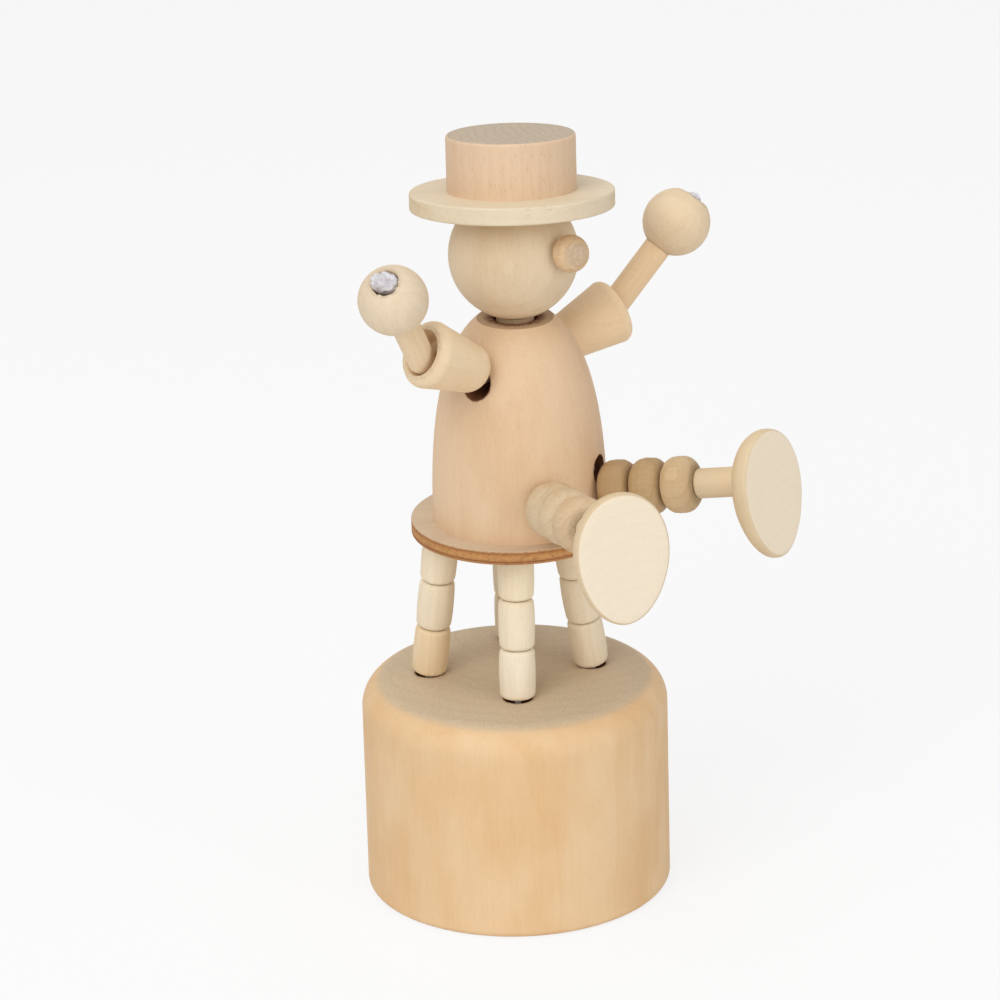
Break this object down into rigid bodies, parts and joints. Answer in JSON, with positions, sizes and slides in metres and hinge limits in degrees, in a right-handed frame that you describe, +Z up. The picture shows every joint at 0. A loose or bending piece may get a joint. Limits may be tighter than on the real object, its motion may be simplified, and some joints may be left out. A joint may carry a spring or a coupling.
{
  "type": "wooden push puppet",
  "caption": "Jointed wooden figure in a brimmed hat that sits on a beaded stool on a drum and collapses when the button underneath is pushed.",
  "frame": {"origin": "on the drum's axis, in the plane of the foot ring it stands on", "axes": "+Z up along the drum's axis, the figure faces -Y, its right side is on -X"},
  "size_m": [0.0742, 0.0694, 0.1285],
  "materials": {
    "drum_wood": "sanded, unfinished",
    "button_wood": "sanded, unfinished",
    "spring_steel": "drawn wire",
    "cotton_cord": "braided cord",
    "singed_knot": "melted and singed",
    "seat_ply": "ply with a darker edge",
    "body_wood": "sanded, unfinished",
    "head_wood": "sanded, unfinished",
    "nose_wood": "end grain",
    "crown_wood": "sanded, unfinished",
    "brim_wood": "sanded, unfinished",
    "stool_wood": "sanded, unfinished",
    "knee_wood": "sanded, unfinished",
    "shoe_wood": "sanded, unfinished",
    "plug_wood": "sanded, unfinished",
    "arm_wood": "sanded, unfinished"
  },
  "bodies": {
    "base": {"base_drum": "drum_wood", "return_spring": "spring_steel"},
    "button": {"push_button": "button_wood", "button_cords": "cotton_cord"},
    "stool_front_right_bead_1": {"stool_front_right_bead_1": "stool_wood"},
    "stool_front_right_bead_2": {"stool_front_right_bead_2": "stool_wood"},
    "stool_front_right_bead_3": {"stool_front_right_bead_3": "stool_wood"},
    "stool_front_left_bead_1": {"stool_front_left_bead_1": "stool_wood"},
    "stool_front_left_bead_2": {"stool_front_left_bead_2": "stool_wood"},
    "stool_front_left_bead_3": {"stool_front_left_bead_3": "stool_wood"},
    "stool_rear_left_bead_1": {"stool_rear_left_bead_1": "stool_wood"},
    "stool_rear_left_bead_2": {"stool_rear_left_bead_2": "stool_wood"},
    "stool_rear_left_bead_3": {"stool_rear_left_bead_3": "stool_wood"},
    "stool_rear_right_bead_1": {"stool_rear_right_bead_1": "stool_wood"},
    "stool_rear_right_bead_2": {"stool_rear_right_bead_2": "stool_wood"},
    "stool_rear_right_bead_3": {"stool_rear_right_bead_3": "stool_wood"},
    "torso": {"seat": "seat_ply", "body": "body_wood", "body_cords": "cotton_cord", "neck_bead": "body_wood"},
    "head": {"head": "head_wood", "head_plug": "plug_wood", "nose": "nose_wood", "hat_brim": "brim_wood", "hat_crown": "crown_wood"},
    "right_sleeve": {"right_sleeve": "arm_wood"},
    "right_forearm": {"right_forearm": "arm_wood"},
    "right_hand": {"right_hand": "arm_wood", "right_hand_knot": "singed_knot"},
    "left_sleeve": {"left_sleeve": "arm_wood"},
    "left_forearm": {"left_forearm": "arm_wood"},
    "left_hand": {"left_hand": "arm_wood", "left_hand_knot": "singed_knot"},
    "right_knee_bead_1": {"right_knee_bead_1": "knee_wood"},
    "right_knee_bead_2": {"right_knee_bead_2": "knee_wood"},
    "right_knee_bead_3": {"right_knee_bead_3": "knee_wood"},
    "right_shoe": {"right_shoe": "shoe_wood"},
    "left_knee_bead_1": {"left_knee_bead_1": "knee_wood"},
    "left_knee_bead_2": {"left_knee_bead_2": "knee_wood"},
    "left_knee_bead_3": {"left_knee_bead_3": "knee_wood"},
    "left_shoe": {"left_shoe": "shoe_wood"}
  },
  "joints": [
    {"name": "button_push", "type": "slide", "parent": "base", "child": "button", "axis": [0, 0, 1], "range_m": [0, 0.0065], "stiffness_N_per_m": 400, "springref_m": -0.002, "deforming": ["return_spring"]},
    {"name": "stool_front_right_lean_1", "type": "hinge", "parent": "base", "child": "stool_front_right_bead_1", "pos_m": [-0.00685, -0.00961, 0.03719], "axis": [1, 0, 0], "range_deg": [0, 20.01]},
    {"name": "stool_front_right_lean_2", "type": "hinge", "parent": "stool_front_right_bead_1", "child": "stool_front_right_bead_2", "pos_m": [-0.00638, -0.00924, 0.04558], "axis": [1, 0, 0], "range_deg": [0, 20.01]},
    {"name": "stool_front_right_lean_3", "type": "hinge", "parent": "stool_front_right_bead_2", "child": "stool_front_right_bead_3", "pos_m": [-0.00592, -0.00478, 0.05379], "axis": [1, 0, 0], "range_deg": [-20.01, 0]},
    {"name": "stool_front_left_lean_1", "type": "hinge", "parent": "base", "child": "stool_front_left_bead_1", "pos_m": [0.01123, -0.00866, 0.03733], "axis": [1, 0, 0], "range_deg": [0, 17.18]},
    {"name": "stool_front_left_lean_2", "type": "hinge", "parent": "stool_front_left_bead_1", "child": "stool_front_left_bead_2", "pos_m": [0.00959, -0.00872, 0.04558], "axis": [1, 0, 0], "range_deg": [0, 27.4]},
    {"name": "stool_front_left_lean_3", "type": "hinge", "parent": "stool_front_left_bead_2", "child": "stool_front_left_bead_3", "pos_m": [0.00795, -0.00469, 0.05386], "axis": [1, 0, 0], "range_deg": [-29.85, 0]},
    {"name": "stool_rear_left_lean_1", "type": "hinge", "parent": "base", "child": "stool_rear_left_bead_1", "pos_m": [0.01091, 0.00884, 0.03707], "axis": [1, 0, 0], "range_deg": [0, 13.93]},
    {"name": "stool_rear_left_lean_2", "type": "hinge", "parent": "stool_rear_left_bead_1", "child": "stool_rear_left_bead_2", "pos_m": [0.00967, 0.00767, 0.04531], "axis": [1, 0, 0], "range_deg": [0, 28.7]},
    {"name": "stool_rear_left_lean_3", "type": "hinge", "parent": "stool_rear_left_bead_2", "child": "stool_rear_left_bead_3", "pos_m": [0.00834, 0.01055, 0.05411], "axis": [1, 0, 0], "range_deg": [-30.41, 0]},
    {"name": "stool_rear_right_lean_1", "type": "hinge", "parent": "base", "child": "stool_rear_right_bead_1", "pos_m": [-0.00869, 0.00874, 0.03695], "axis": [1, 0, 0], "range_deg": [0, 14.23]},
    {"name": "stool_rear_right_lean_2", "type": "hinge", "parent": "stool_rear_right_bead_1", "child": "stool_rear_right_bead_2", "pos_m": [-0.00856, 0.00756, 0.04528], "axis": [1, 0, 0], "range_deg": [0, 27.92]},
    {"name": "stool_rear_right_lean_3", "type": "hinge", "parent": "stool_rear_right_bead_2", "child": "stool_rear_right_bead_3", "pos_m": [-0.00842, 0.01043, 0.05418], "axis": [1, 0, 0], "range_deg": [-29.63, 0]},
    {"name": "seat_lean", "type": "hinge", "parent": "stool_front_right_bead_3", "child": "torso", "pos_m": [-0.00556, -0.0045, 0.06033], "axis": [1, 0, 0], "range_deg": [-20.01, 0]},
    {"name": "head_nod", "type": "hinge", "parent": "torso", "child": "head", "pos_m": [0.0012, -0.0012, 0.10806], "axis": [1, 0, 0], "range_deg": [0, 18.01]},
    {"name": "right_shoulder_droop", "type": "hinge", "parent": "torso", "child": "right_sleeve", "pos_m": [-0.01256, -0.0034, 0.09261], "axis": [-0.1736, -0.9848, 0], "range_deg": [0, 40.02]},
    {"name": "right_elbow_droop", "type": "hinge", "parent": "right_sleeve", "child": "right_forearm", "pos_m": [-0.02057, -0.00199, 0.09625], "axis": [0.3502, -0.9367, 0], "range_deg": [0, 40.02]},
    {"name": "right_wrist_droop", "type": "hinge", "parent": "right_forearm", "child": "right_hand", "pos_m": [-0.02949, -0.00532, 0.10911], "axis": [0.3502, -0.9367, 0], "range_deg": [0, 25.01]},
    {"name": "left_shoulder_droop", "type": "hinge", "parent": "torso", "child": "left_sleeve", "pos_m": [0.01619, 0.0012, 0.08936], "axis": [0.342, 0.9397, 0], "range_deg": [0, 40.02]},
    {"name": "left_elbow_droop", "type": "hinge", "parent": "left_sleeve", "child": "left_forearm", "pos_m": [0.02428, -0.00175, 0.09435], "axis": [0.4384, 0.8988, 0], "range_deg": [0, 50.02]},
    {"name": "left_wrist_droop", "type": "hinge", "parent": "left_forearm", "child": "left_hand", "pos_m": [0.03372, -0.00635, 0.10643], "axis": [0.4384, 0.8988, 0], "range_deg": [0, 25.01]},
    {"name": "right_hip_droop", "type": "hinge", "parent": "torso", "child": "right_knee_bead_1", "pos_m": [-0.00641, -0.01619, 0.06816], "axis": [0.9239, -0.3827, 0], "range_deg": [0, 18.01]},
    {"name": "right_knee_droop_1", "type": "hinge", "parent": "right_knee_bead_1", "child": "right_knee_bead_2", "pos_m": [-0.00847, -0.02115, 0.06877], "axis": [0.9239, -0.3827, 0], "range_deg": [0, 13.01]},
    {"name": "right_knee_droop_2", "type": "hinge", "parent": "right_knee_bead_2", "child": "right_knee_bead_3", "pos_m": [-0.01053, -0.02612, 0.06939], "axis": [0.9239, -0.3827, 0], "range_deg": [0, 13.01]},
    {"name": "right_ankle_droop", "type": "hinge", "parent": "right_knee_bead_3", "child": "right_shoe", "pos_m": [-0.01192, -0.02948, 0.07025], "axis": [0.9239, -0.3827, 0], "range_deg": [0, 13.01]},
    {"name": "left_hip_droop", "type": "hinge", "parent": "torso", "child": "left_knee_bead_1", "pos_m": [0.00784, -0.01684, 0.06798], "axis": [0.9205, 0.3907, 0], "range_deg": [0, 18.01]},
    {"name": "left_knee_droop_1", "type": "hinge", "parent": "left_knee_bead_1", "child": "left_knee_bead_2", "pos_m": [0.00992, -0.02175, 0.06887], "axis": [0.9205, 0.3907, 0], "range_deg": [0, 13.01]},
    {"name": "left_knee_droop_2", "type": "hinge", "parent": "left_knee_bead_2", "child": "left_knee_bead_3", "pos_m": [0.01201, -0.02666, 0.06976], "axis": [0.9205, 0.3907, 0], "range_deg": [0, 13.01]},
    {"name": "left_ankle_droop", "type": "hinge", "parent": "left_knee_bead_3", "child": "left_shoe", "pos_m": [0.01341, -0.02996, 0.07082], "axis": [0.9205, 0.3907, 0], "range_deg": [0, 13.01]}
  ],
  "couplings": [
    {"joint": "stool_front_right_lean_1", "follows": "button_push", "rad_per_m": 53.702},
    {"joint": "stool_front_right_lean_2", "follows": "button_push", "rad_per_m": 53.702},
    {"joint": "stool_front_right_lean_3", "follows": "button_push", "rad_per_m": -53.702},
    {"joint": "stool_front_left_lean_1", "follows": "button_push", "rad_per_m": 46.111},
    {"joint": "stool_front_left_lean_2", "follows": "button_push", "rad_per_m": 73.543},
    {"joint": "stool_front_left_lean_3", "follows": "button_push", "rad_per_m": -80.115},
    {"joint": "stool_rear_left_lean_1", "follows": "button_push", "rad_per_m": 37.387},
    {"joint": "stool_rear_left_lean_2", "follows": "button_push", "rad_per_m": 77.036},
    {"joint": "stool_rear_left_lean_3", "follows": "button_push", "rad_per_m": -81.619},
    {"joint": "stool_rear_right_lean_1", "follows": "button_push", "rad_per_m": 38.187},
    {"joint": "stool_rear_right_lean_2", "follows": "button_push", "rad_per_m": 74.934},
    {"joint": "stool_rear_right_lean_3", "follows": "button_push", "rad_per_m": -79.511},
    {"joint": "seat_lean", "follows": "button_push", "rad_per_m": -53.702},
    {"joint": "head_nod", "follows": "button_push", "rad_per_m": 48.332},
    {"joint": "right_shoulder_droop", "follows": "button_push", "rad_per_m": 107.4},
    {"joint": "right_elbow_droop", "follows": "button_push", "rad_per_m": 107.4},
    {"joint": "right_wrist_droop", "follows": "button_push", "rad_per_m": 67.128},
    {"joint": "left_shoulder_droop", "follows": "button_push", "rad_per_m": 107.4},
    {"joint": "left_elbow_droop", "follows": "button_push", "rad_per_m": 134.26},
    {"joint": "left_wrist_droop", "follows": "button_push", "rad_per_m": 67.128},
    {"joint": "right_hip_droop", "follows": "button_push", "rad_per_m": 48.332},
    {"joint": "right_knee_droop_1", "follows": "button_push", "rad_per_m": 34.907},
    {"joint": "right_knee_droop_2", "follows": "button_push", "rad_per_m": 34.907},
    {"joint": "right_ankle_droop", "follows": "button_push", "rad_per_m": 34.907},
    {"joint": "left_hip_droop", "follows": "button_push", "rad_per_m": 48.332},
    {"joint": "left_knee_droop_1", "follows": "button_push", "rad_per_m": 34.907},
    {"joint": "left_knee_droop_2", "follows": "button_push", "rad_per_m": 34.907},
    {"joint": "left_ankle_droop", "follows": "button_push", "rad_per_m": 34.907}
  ]
}
